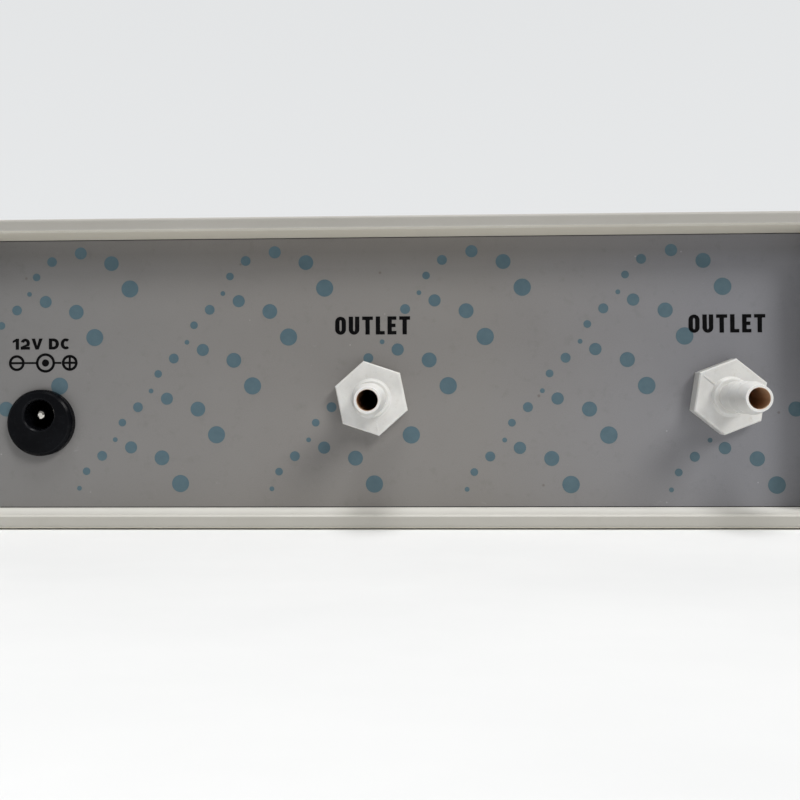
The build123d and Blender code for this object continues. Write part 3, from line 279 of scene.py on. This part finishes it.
def white_moulding():
    """Gloss white plastic, slightly waxy, with handling grime and painted shade in its corners and a painted
    highlight on its edges.
    """
    recipe = Recipe("white_plastic", roughness=0.34, Subsurface_Weight=0.12, Subsurface_Scale=0.0012)
    recipe.shader.inputs["Subsurface Radius"].default_value = (1.0, 0.8, 0.6)
    cloud = recipe.limits(recipe.noise(0.004, 4.0, 0.6), 0.35, 0.65)
    base = recipe.mixed(cloud, (0.69, 0.685, 0.665), (0.77, 0.765, 0.745))
    smear = recipe.limits(recipe.noise(0.0016, 4.0, 0.65), 0.60, 0.78)
    smeared = recipe.mixed(recipe.product(smear, 0.36), base, (0.47, 0.42, 0.34))
    # Darker and browner in corners: handling grime, and painted shade.
    grime_and_painted_corner_shade = recipe.mixed(recipe.product(recipe.hollows(0.0018), 0.34), smeared, (0.42, 0.38, 0.31))
    fleck = recipe.limits(recipe.cells(0.0030), 0.16, 0.05)
    patchy = recipe.product(fleck, recipe.limits(recipe.noise(0.005, 2.0, 0.5), 0.46, 0.60, 0.0, 0.50))
    flecked = recipe.mixed(patchy, grime_and_painted_corner_shade, (0.40, 0.33, 0.22))
    # Paler edges: a painted highlight, with some wear.
    wear_and_painted_edge_highlight = recipe.mixed(recipe.product(recipe.edges(0.0005), 0.80), flecked, (0.93, 0.93, 0.92))
    for fitting in FITTINGS:
        centre = middle(fitting)
        wear_and_painted_edge_highlight = recipe.mixed(recipe.tunnel(centre.x, centre.z, BORE_RADIUS), wear_and_painted_edge_highlight, (0.52, 0.29, 0.13))
    recipe.colour(wear_and_painted_edge_highlight)
    recipe.gloss(recipe.limits(recipe.noise(0.0012, 4.0, 0.6), 0.3, 0.7, 0.26, 0.44))
    recipe.bump(recipe.noise(0.0009, 4.0, 0.6), 0.00005, 0.5)
    return recipe.material


def black_moulding(name, roughness, specular, texture):
    """Black plastic, from glossy to textured, with pale dust and rubbed edges."""
    recipe = Recipe(name, roughness=roughness, Specular_IOR_Level=specular)
    cloud = recipe.limits(recipe.noise(0.006, 3.0, 0.6), 0.35, 0.65)
    base = recipe.mixed(cloud, (0.0022, 0.0024, 0.0033), (0.0042, 0.0046, 0.0060))
    dust = recipe.product(recipe.limits(recipe.noise(0.0009, 5.0, 0.7), 0.55, 0.80), 0.06)
    dusty = recipe.mixed(dust, base, (0.09, 0.09, 0.095))
    recipe.colour(recipe.mixed(recipe.product(recipe.edges(0.0004), 0.18), dusty, (0.09, 0.095, 0.105)))
    recipe.gloss(recipe.limits(recipe.noise(0.0015, 4.0, 0.6), 0.3, 0.7, roughness * 0.8, roughness * 1.25))
    recipe.bump(recipe.noise(0.0003, 2.0, 0.6), texture, 0.5)
    return recipe.material


def plain_moulding(name, dark, light, roughness, grain=0.0004, depth=0.00003):
    """A plastic between two colours, with painted shade darkening its corners and a fine moulded grain."""
    recipe = Recipe(name, roughness=roughness)
    cloud = recipe.limits(recipe.noise(0.010, 4.0, 0.6), 0.35, 0.65)
    base = recipe.mixed(cloud, dark, light)
    # Darker in corners and recesses: painted shade.
    shade = tuple(channel * 0.45 for channel in dark)
    recipe.colour(recipe.mixed(recipe.product(recipe.hollows(0.0015), 0.5), base, shade))
    recipe.gloss(recipe.limits(recipe.noise(0.003, 4.0, 0.6), 0.3, 0.7, roughness * 0.85, roughness * 1.15))
    recipe.bump(recipe.noise(grain, 3.0, 0.6), depth, 0.6)
    return recipe.material


def soft_rubber(name, dark, light, roughness=0.75, **sockets):
    """Matte rubber or silicone with a bloom of dust."""
    recipe = Recipe(name, roughness=roughness, **sockets)
    cloud = recipe.limits(recipe.noise(0.003, 5.0, 0.65), 0.35, 0.70)
    base = recipe.mixed(cloud, dark, light)
    fleck = recipe.product(recipe.limits(recipe.cells(0.0012), 0.12, 0.04), 0.25)
    recipe.colour(recipe.mixed(fleck, base, tuple(min(1.0, channel * 1.6 + 0.04) for channel in light)))
    smoothest, roughest = roughness * 0.85, min(1.0, roughness * 1.1)
    recipe.gloss(recipe.limits(recipe.noise(0.002, 3.0, 0.6), 0.3, 0.7, smoothest, roughest))
    recipe.bump(recipe.noise(0.0005, 3.0, 0.6), 0.00005, 0.6)
    return recipe.material


def metal(name, dark, light, roughness, brushed=(1.0, 1.0, 1.0), depth=0.00001):
    """A metal with cloudy tarnish and tool marks stretched along one axis."""
    recipe = Recipe(name, roughness=roughness, metallic=1.0)
    cloud = recipe.limits(recipe.noise(0.004, 4.0, 0.6), 0.35, 0.65)
    base = recipe.mixed(cloud, dark, light)
    marks = recipe.noise(0.0004, 3.0, 0.6, brushed)
    scored = recipe.mixed(recipe.product(recipe.limits(marks, 0.45, 0.75), 0.25), base, light)
    tarnish = tuple(channel * 0.35 for channel in dark)
    recipe.colour(recipe.mixed(recipe.product(recipe.hollows(0.0015), 0.5), scored, tarnish))
    recipe.gloss(recipe.limits(marks, 0.3, 0.7, roughness * 0.75, min(1.0, roughness * 1.3)))
    recipe.bump(marks, depth, 0.6)
    return recipe.material


def open_foam():
    """Dark open-cell foam."""
    recipe = Recipe("foam", roughness=0.95)
    pores = recipe.limits(recipe.cells(0.0007), 0.15, 0.55)
    recipe.colour(recipe.mixed(pores, (0.010, 0.010, 0.011), (0.085, 0.085, 0.090)))
    recipe.bump(pores, 0.0003, 0.9)
    return recipe.material


def circuit_laminate():
    """Green solder mask over faint copper tracks."""
    recipe = Recipe("board_green", roughness=0.30)
    tracks = recipe.add("ShaderNodeTexBrick")
    tracks.inputs["Scale"].default_value = 180.0
    tracks.inputs["Mortar Size"].default_value = 0.06
    recipe.link(recipe.place, tracks.inputs["Vector"])
    cloud = recipe.limits(recipe.noise(0.004, 3.0, 0.6), 0.35, 0.65)
    base = recipe.mixed(cloud, (0.010, 0.085, 0.035), (0.015, 0.110, 0.045))
    recipe.colour(recipe.mixed(recipe.product(tracks.outputs["Fac"], 0.6), base, (0.030, 0.180, 0.070)))
    recipe.bump(tracks.outputs["Fac"], 0.00003, 0.8)
    return recipe.material


def tinted_lens():
    """Diffused green lamp lens."""
    recipe = Recipe("led_lens", roughness=0.18, Transmission_Weight=0.45, IOR=1.49)
    haze = recipe.limits(recipe.noise(0.0012, 3.0, 0.6), 0.35, 0.65)
    recipe.colour(recipe.mixed(haze, (0.06, 0.42, 0.12), (0.12, 0.58, 0.20)))
    recipe.bump(recipe.noise(0.0006, 2.0, 0.5), 0.00002, 0.4)
    return recipe.material


def printing_ink(name, dark, light, specular):
    """Screen-printed ink: nearly flat colour with pinholes and slightly uneven cover."""
    recipe = Recipe(name, roughness=0.45, Specular_IOR_Level=specular)
    cover = recipe.limits(recipe.noise(0.0020, 4.0, 0.65), 0.35, 0.70)
    base = recipe.mixed(cover, dark, light)
    pinhole = recipe.product(recipe.limits(recipe.noise(0.00025, 2.0, 0.6), 0.62, 0.75), 0.22)
    recipe.colour(recipe.mixed(pinhole, base, tuple(0.6 * channel + 0.08 for channel in light)))
    recipe.bump(recipe.noise(0.0003, 2.0, 0.6), 0.00001, 0.5)
    return recipe.material


def pale_floor():
    """Plain white table paper with very faint unevenness."""
    recipe = Recipe("floor", roughness=0.65, Specular_IOR_Level=0.25)
    cloud = recipe.limits(recipe.noise(0.035, 4.0, 0.6, (0.5, 1.0, 1.0)), 0.30, 0.70)
    recipe.colour(recipe.mixed(cloud, (0.732, 0.736, 0.735), (0.770, 0.773, 0.770)))
    recipe.bump(recipe.noise(0.02, 3.0, 0.5), 0.0004, 0.25)
    return recipe.material


MATERIALS = {
    "shell_plastic": moulded_case(),
    "panel_film": printed_film(),
    "white_plastic": white_moulding(),
    "black_plastic": black_moulding("black_plastic", 0.24, 0.06, 0.00001),
    "dark_plastic": black_moulding("dark_plastic", 0.45, 0.40, 0.00004),
    "panel_plastic": plain_moulding("panel_plastic", (0.045, 0.045, 0.047), (0.065, 0.065, 0.068), 0.55),
    "rubber_black": soft_rubber("rubber_black", (0.012, 0.012, 0.012), (0.028, 0.028, 0.029)),
    "silicone": soft_rubber(
        "silicone", (0.55, 0.57, 0.56), (0.68, 0.70, 0.69), 0.40, Transmission_Weight=0.25
    ),
    "nickel": metal("nickel", (0.50, 0.48, 0.43), (0.66, 0.64, 0.60), 0.12),
    "zinc_steel": metal("zinc_steel", (0.46, 0.46, 0.45), (0.66, 0.66, 0.65), 0.34, (0.2, 1.0, 1.0)),
    "dark_steel": metal("dark_steel", (0.26, 0.26, 0.27), (0.40, 0.40, 0.41), 0.36, (1.0, 0.1, 1.0)),
    "aluminium_cast": metal("aluminium_cast", (0.52, 0.53, 0.54), (0.70, 0.71, 0.72), 0.44, depth=0.00004),
    "copper": metal("copper", (0.52, 0.20, 0.08), (0.74, 0.34, 0.16), 0.28, (1.0, 0.15, 1.0), 0.00008),
    "brass": metal("brass", (0.50, 0.37, 0.14), (0.72, 0.56, 0.26), 0.26),
    "magnet": plain_moulding("magnet", (0.020, 0.020, 0.022), (0.045, 0.045, 0.048), 0.65),
    "nylon": plain_moulding("nylon", (0.55, 0.53, 0.46), (0.66, 0.64, 0.57), 0.45),
    "foam": open_foam(),
    "board_green": circuit_laminate(),
    "led_lens": tinted_lens(),
    "wire": plain_moulding("wire", (0.20, 0.012, 0.012), (0.30, 0.022, 0.020), 0.35),
}
BLUE_INK = printing_ink("blue_ink", (0.080, 0.136, 0.168), (0.094, 0.155, 0.187), 0.35)
BLACK_INK = printing_ink("black_ink", (0.0030, 0.0030, 0.0034), (0.0055, 0.0055, 0.0060), 0.04)

for node_name, node_object in frame["nodes"].items():
    node_object.data.materials.clear()
    node_object.data.materials.append(MATERIALS[slot_of[node_name]])


# ---------------------------------------------------------------- flat printing

INK_HEIGHT = 0.03 * MM
CIRCLE_STEPS = 48
ARC_STEPS = 24


def arc(x, z, radius_x, radius_z, start, stop):
    """Points along part of an ellipse, between two angles in degrees."""
    turns = [math.radians(start + (stop - start) * i / ARC_STEPS) for i in range(ARC_STEPS + 1)]
    return [(x + radius_x * math.cos(turn), z + radius_z * math.sin(turn)) for turn in turns]


class Print:
    """Thin ink shapes on one panel. x runs to the reader's right and z runs up, both in millimetres."""

    def __init__(self, name, facing, material):
        self.name = name
        self.facing = facing
        self.mesh = bmesh.new()
        self.material = material
        film = "outlet_panel_film" if facing < 0 else "control_panel_film"
        low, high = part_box(film)
        self.face = low[1] if facing < 0 else high[1]
        self.film = film

    def point(self, x, z, lift):
        """A point of the mesh, lift metres off the film."""
        return self.mesh.verts.new((-self.facing * x * MM, self.face + self.facing * lift, z * MM))

    def plate(self, outline):
        """A thin solid plate of ink from an outline of (x, z) points, anticlockwise as read."""
        front = [self.point(x, z, INK_HEIGHT) for x, z in outline]
        back = [self.point(x, z, 0.0) for x, z in outline]
        self.mesh.faces.new(front)
        self.mesh.faces.new(list(reversed(back)))
        self.walls(front, back)

    def walls(self, front, back):
        """Closes the gap between two matching loops of points."""
        count = len(front)
        for i in range(count):
            j = (i + 1) % count
            self.mesh.faces.new((front[i], back[i], back[j], front[j]))

    def circle(self, x, z, radius):
        """Points round a circle."""
        turns = [2 * math.pi * i / CIRCLE_STEPS for i in range(CIRCLE_STEPS)]
        return [(x + radius * math.cos(turn), z + radius * math.sin(turn)) for turn in turns]

    def dot(self, x, z, radius):
        """A round spot of ink."""
        self.plate(self.circle(x, z, radius))

    def ring(self, x, z, radius, stroke):
        """A ring of ink, with its stroke centred on the radius."""
        outer, inner = (self.circle(x, z, radius + side * stroke / 2) for side in (1, -1))
        self.strip(outer, inner, closed=True)

    def bar(self, x, z, width, height, turn=0.0):
        """A rectangle of ink, turned anticlockwise by turn degrees."""
        c, s = math.cos(math.radians(turn)), math.sin(math.radians(turn))
        half_width, half_height = width / 2, height / 2
        signs = ((-1, -1), (1, -1), (1, 1), (-1, 1))
        corners = [(i * half_width, j * half_height) for i, j in signs]
        self.plate([(x + u * c - v * s, z + u * s + v * c) for u, v in corners])

    def strip(self, first, second, closed=False):
        """A band of ink between two rows of matching points."""
        fronts = [[self.point(*spot, INK_HEIGHT) for spot in row] for row in (first, second)]
        backs = [[self.point(*spot, 0.0) for spot in row] for row in (first, second)]
        count = len(first)
        for i in range(count if closed else count - 1):
            j = (i + 1) % count
            self.mesh.faces.new((fronts[0][i], fronts[0][j], fronts[1][j], fronts[1][i]))
            self.mesh.faces.new((backs[0][i], backs[1][i], backs[1][j], backs[0][j]))
            self.mesh.faces.new((fronts[0][i], backs[0][i], backs[0][j], fronts[0][j]))
            self.mesh.faces.new((fronts[1][i], fronts[1][j], backs[1][j], backs[1][i]))
        if not closed:
            for i in (0, -1):
                self.mesh.faces.new((fronts[0][i], fronts[1][i], backs[1][i], backs[0][i]))

    def letter(self, mark, left, base, w, h, stem, bar):
        """One capital or digit in a box w wide and h high, with its stems and bars that thick."""
        def placed(spots):
            return [(left + x, base + z) for x, z in spots]

        r = w / 2
        near, far = r - stem / 2, r + stem / 2
        low, high = h / 2 - bar / 2, h / 2 + bar / 2
        under, tongue, arm = h - bar, w * 0.9, stem * 1.05
        plates = {
            "T": [(0, under), (near, under), (near, 0), (far, 0), (far, under), (w, under), (w, h), (0, h)],
            "L": [(0, 0), (w, 0), (w, bar), (stem, bar), (stem, h), (0, h)],
            "E": [(0, 0), (w, 0), (w, bar), (stem, bar), (stem, low), (tongue, low), (tongue, high),
                  (stem, high), (stem, under), (w, under), (w, h), (0, h)],
            "V": [(near, 0), (far, 0), (w, h), (w - arm, h), (r, bar * 1.3), (arm, h), (0, h)],
            "1": [(w - stem, 0), (w, 0), (w, h), (w - stem * 0.8, h), (0, h * 0.80), (0, h * 0.60),
                  (w - stem, h * 0.72)],
        }
        if mark in plates:
            self.plate(placed(plates[mark]))
            return
        if mark in "OU":
            outer = arc(r, r, r, r, 180, 360)
            inner = arc(r, r, r - stem, r - bar, 180, 360)
            if mark == "O":
                outer += arc(r, h - r, r, r, 0, 180)
                inner += arc(r, h - r, r - stem, r - bar, 0, 180)
            else:
                outer = [(0, h), *outer, (w, h)]
                inner = [(stem, h), *inner, (w - stem, h)]
            self.strip(placed(outer), placed(inner), closed=mark == "O")
        elif mark == "C":
            outer = arc(r, h / 2, r, h / 2, 48, 312)
            inner = arc(r, h / 2, r - stem, h / 2 - bar, 48, 312)
            self.strip(placed(outer), placed(inner))
        elif mark == "D":
            reach = h / 2
            bend = w - reach
            outer = [(0, h), (0, 0), *arc(bend, h / 2, reach, h / 2, -90, 90)]
            inner = [(stem, h - bar), (stem, bar), *arc(bend, h / 2, reach - stem, h / 2 - bar, -90, 90)]
            self.strip(placed(outer), placed(inner), closed=True)
        elif mark == "2":
            outer = [*arc(r, h - r, r, r, 165, -35), (stem * 1.5, bar)]
            inner = [*arc(r, h - r, r - stem, r - bar, 165, -35), (0, bar)]
            self.strip(placed(outer), placed(inner))
            self.plate(placed([(0, 0), (w, 0), (w, bar), (0, bar)]))

    def words(self, text, x, base, height, widths, gap, stem, bar):
        """Bold letters centred on x. widths gives each letter's width, and a space takes its own."""
        spread = sum(widths[mark] for mark in text) + gap * (len(text) - 1)
        left = x - spread / 2
        for mark in text:
            if mark != " ":
                self.letter(mark, left, base, widths[mark], height, stem, bar)
            left += widths[mark] + gap

    def done(self, body="case"):
        """Turns the ink into one piece that rides on a body."""
        data = bpy.data.meshes.new(self.name)
        bmesh.ops.recalc_face_normals(self.mesh, faces=self.mesh.faces)
        self.mesh.to_mesh(data)
        self.mesh.free()
        piece = bpy.data.objects.new(self.name, data)
        bpy.context.collection.objects.link(piece)
        data.materials.append(self.material)
        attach(piece, body)


# The films' motif: a comma of dots that shrink as they curl away from the largest, as (dx, dz, radius)
MOTIF = [
    (0.0, 0.0, 1.79),
    (-3.9, 5.35, 1.55),
    (-10.4, 7.55, 1.27),
    (-16.5, 5.8, 1.03),
    (-19.8, 2.6, 0.80),
    (-21.3, -0.95, 0.50),
]
ROWS = 5
COLUMNS = range(-1, 5)
# The largest dot's place in the top row's column 0, the steps from row to row and from column to column,
# and how much shorter each row's column step is than the row's above
FIRST = (-52.3, 48.75)
DOWN = (-7.45, -10.12)
ALONG = (40.87, -0.17)
ROW_SHRINK = 0.115
# The bare margin round the edge of a film
EDGE_GAP = 0.5


def graded_dots(facing, name, clear_circles, clear_boxes, slip):
    """The dots over one film, left out of the given circles and boxes. The last column is off by slip."""
    ink = Print(name, facing, BLUE_INK)
    low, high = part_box(ink.film)
    half_width = high[0] / MM - EDGE_GAP
    bottom, top = low[2] / MM + EDGE_GAP, high[2] / MM - EDGE_GAP
    for row in range(ROWS):
        for column in COLUMNS:
            start_x = FIRST[0] + row * DOWN[0] + column * (ALONG[0] - ROW_SHRINK * row)
            start_z = FIRST[1] + row * DOWN[1] + column * ALONG[1]
            if column == COLUMNS[-1]:
                start_x += slip
            for dx, dz, radius in MOTIF:
                x, z = start_x + dx, start_z + dz
                shown = abs(x) < half_width - radius and bottom + radius < z < top - radius
                for kx, kz, reach in clear_circles:
                    shown = shown and math.hypot(x - kx, z - kz) > reach + radius
                for left, right, foot, head in clear_boxes:
                    shown = shown and not (left < x < right and foot < z < head)
                if shown:
                    ink.dot(x, z, radius)
    ink.done()


# Widths of the letters, in millimetres
OUTLET_LETTERS = {"O": 2.25, "U": 2.2, "T": 2.25, "L": 1.85, "E": 1.85}
SOCKET_LETTERS = {"1": 1.35, "2": 1.95, "V": 2.35, "D": 2.15, "C": 2.15, " ": 0.6}


def outlet_legends():
    """Generic words over the outlets and the jack, and the centre-positive symbol."""
    ink = Print("outlet_panel_legends", -1, BLACK_INK)
    for fitting, shift, base in zip(FITTINGS, (0.2, 0.5), (38.85, 38.75)):
        x = middle(fitting).x / MM + shift
        ink.words("OUTLET", x, base, height=3.75, widths=OUTLET_LETTERS, gap=0.58, stem=0.90, bar=0.72)
    ink.words("12V DC", -71.0, 36.2, height=2.3, widths=SOCKET_LETTERS, gap=0.36, stem=0.70, bar=0.58)
    level, minus, pin, plus = 33.37, -76.3, -70.2, -65.05
    sign, stroke, link = 2.3, 0.46, 0.40
    for x, radius in ((minus, 1.40), (pin, 1.76), (plus, 1.40)):
        ink.ring(x, level, radius, 0.54)
    ink.dot(pin, level, 0.76)
    ink.bar(minus, level, sign, stroke)
    ink.bar(plus, level, sign, stroke)
    for half in (-1, 1):
        ink.bar(plus, level + half * 0.69, stroke, 0.92)
    ink.bar(-73.43, level, 2.40, link)
    ink.bar(-67.5, level, 1.36, link)
    ink.done()


def control_legends():
    """Dial ticks from minus to plus, the on and off marks and the lamp's ring, on the control panel."""
    ink = Print("control_panel_legends", 1, BLACK_INK)
    knob = middle("airflow_knob") / MM
    dial_start, dial_travel, last = 225, 270, 10
    turns = [dial_start - dial_travel * step / last for step in range(last + 1)]

    def dial_spot(turn, reach):
        angle = math.radians(turn)
        return -knob.x + reach * math.cos(angle), knob.z + reach * math.sin(angle)

    for step, turn in enumerate(turns):
        reach, length = (14.6, 2.4) if step % 5 == 0 else (14.2, 1.5)
        ink.bar(*dial_spot(turn, reach), length, 0.4, turn)
    for turn in (turns[0], turns[-1]):
        ink.bar(*dial_spot(turn, 17.6), 1.9, 0.5)
    plus_x, plus_z = dial_spot(turns[-1], 17.6)
    for half in (-1, 1):
        ink.bar(plus_x, plus_z + half * 0.6, 0.5, 0.7)
    switch = middle("switch_housing") / MM
    ink.ring(-switch.x, switch.z - 14.0, 1.25, 0.42)
    ink.bar(-switch.x, switch.z + 14.0, 0.5, 2.8)
    lamp = middle("power_led") / MM
    ink.ring(-lamp.x, lamp.z, 4.0, 0.35)
    ink.done()


def print_panels():
    """Dots and legends on both panels. Dots keep clear of the fittings, the words and the controls."""
    fitting = middle(FITTINGS[0]) / MM
    words = [(-79.5, -63.0, 31.4, 40.0), (-3.0, 6.0, 38.0, 42.9), (70.0, 91.0, 26.0, 45.0)]
    graded_dots(-1, "outlet_panel_dots", [(fitting.x, fitting.z, 6.5)], words, slip=1.3)
    knob, switch, lamp = (middle(node) / MM for node in ("airflow_knob", "switch_housing", "power_led"))
    controls = [(-knob.x, knob.z, 21.5), (-switch.x, switch.z, 16.5), (-lamp.x, lamp.z, 5.5)]
    graded_dots(1, "control_panel_dots", controls, [], slip=0.0)
    outlet_legends()
    control_legends()


print_panels()


# ---------------------------------------------------------------- stage, light and camera

def make_floor():
    """A wide soft paper plane, which the rubber feet press into."""
    data = bpy.data.meshes.new("floor")
    reach = 12.0
    level = 0.15 * MM
    signs = ((-1, -1), (1, -1), (1, 1), (-1, 1))
    data.from_pydata([(i * reach, j * reach, level) for i, j in signs], [], [(0, 1, 2, 3)])
    floor = bpy.data.objects.new("floor", data)
    bpy.context.collection.objects.link(floor)
    data.materials.append(pale_floor())


def make_light(name, towards, spread, strength, colour=(1.0, 1.0, 1.0)):
    """A distant soft light that comes from a direction, over a cone that many degrees across."""
    data = bpy.data.lights.new(name, "SUN")
    data.angle = math.radians(spread)
    data.energy = strength
    data.color = colour
    light = bpy.data.objects.new(name, data)
    light.rotation_mode = "QUATERNION"
    light.rotation_quaternion = Vector(towards).to_track_quat("Z", "Y")
    bpy.context.collection.objects.link(light)


def make_world():
    """A dim surround, a little brighter overhead, that is seen as an even pale wall."""
    world = bpy.data.worlds.new("surround")
    bpy.context.scene.world = world
    world.use_nodes = True
    tree = world.node_tree
    place = tree.nodes.new("ShaderNodeTexCoord")
    parts = tree.nodes.new("ShaderNodeSeparateXYZ")
    tree.links.new(place.outputs["Generated"], parts.inputs[0])
    rise = tree.nodes.new("ShaderNodeMapRange")
    rise.interpolation_type = "SMOOTHSTEP"
    for socket, value in zip(RANGE_SOCKETS, (0.10, 1.0, 0.07, 0.28)):
        rise.inputs[socket].default_value = value
    tree.links.new(parts.outputs["Z"], rise.inputs["Value"])
    background = tree.nodes["Background"]
    background.inputs["Color"].default_value = (0.985, 0.99, 1.0, 1.0)
    tree.links.new(rise.outputs["Result"], background.inputs["Strength"])
    seen = tree.nodes.new("ShaderNodeBackground")
    seen.inputs["Color"].default_value = (0.975, 0.99, 1.0, 1.0)
    fade = tree.nodes.new("ShaderNodeMapRange")
    for socket, value in zip(RANGE_SOCKETS, (0.0, 0.45, 0.83, 0.79)):
        fade.inputs[socket].default_value = value
    tree.links.new(parts.outputs["Z"], fade.inputs["Value"])
    tree.links.new(fade.outputs["Result"], seen.inputs["Strength"])
    path = tree.nodes.new("ShaderNodeLightPath")
    blend = tree.nodes.new("ShaderNodeMixShader")
    tree.links.new(path.outputs["Is Camera Ray"], blend.inputs["Fac"])
    tree.links.new(background.outputs["Background"], blend.inputs[1])
    tree.links.new(seen.outputs["Background"], blend.inputs[2])
    tree.links.new(blend.outputs["Shader"], tree.nodes["World Output"].inputs["Surface"])


def make_camera():
    """A close camera nearly square to the outlet panel, at the middle of its height."""
    data = bpy.data.cameras.new("camera")
    data.sensor_fit = "HORIZONTAL"
    data.sensor_width = 36.0
    data.lens = 35.58
    data.shift_x = 0.0076
    data.shift_y = -0.0391
    data.clip_start = 0.01
    camera = bpy.data.objects.new("camera", data)
    camera.location = (7.54 * MM, -229.6 * MM, 29.63 * MM)
    yaw, pitch, roll = math.radians(-1.633), math.radians(0.741), math.radians(-0.310)
    forward = Vector((math.sin(yaw) * math.cos(pitch), math.cos(yaw) * math.cos(pitch), math.sin(pitch)))
    camera.rotation_mode = "QUATERNION"
    camera.rotation_quaternion = Quaternion(forward, -roll) @ forward.to_track_quat("-Z", "Y")
    bpy.context.collection.objects.link(camera)
    bpy.context.scene.camera = camera


def make_lights():
    """A warm key from the upper right, a cooler overhead light, and a weak one for the control side."""
    make_light("key", (0.538, -0.567, 0.623), spread=20, strength=1.58, colour=(1.0, 0.985, 0.955))
    make_light("overhead", (0.02, -0.17, 0.985), spread=26, strength=2.30, colour=(0.985, 0.99, 1.0))
    make_light("rear", (-0.35, 0.75, 0.55), spread=45, strength=0.60)


make_floor()
make_world()
make_lights()
make_camera()
bpy.context.scene.view_settings.view_transform = "Standard"
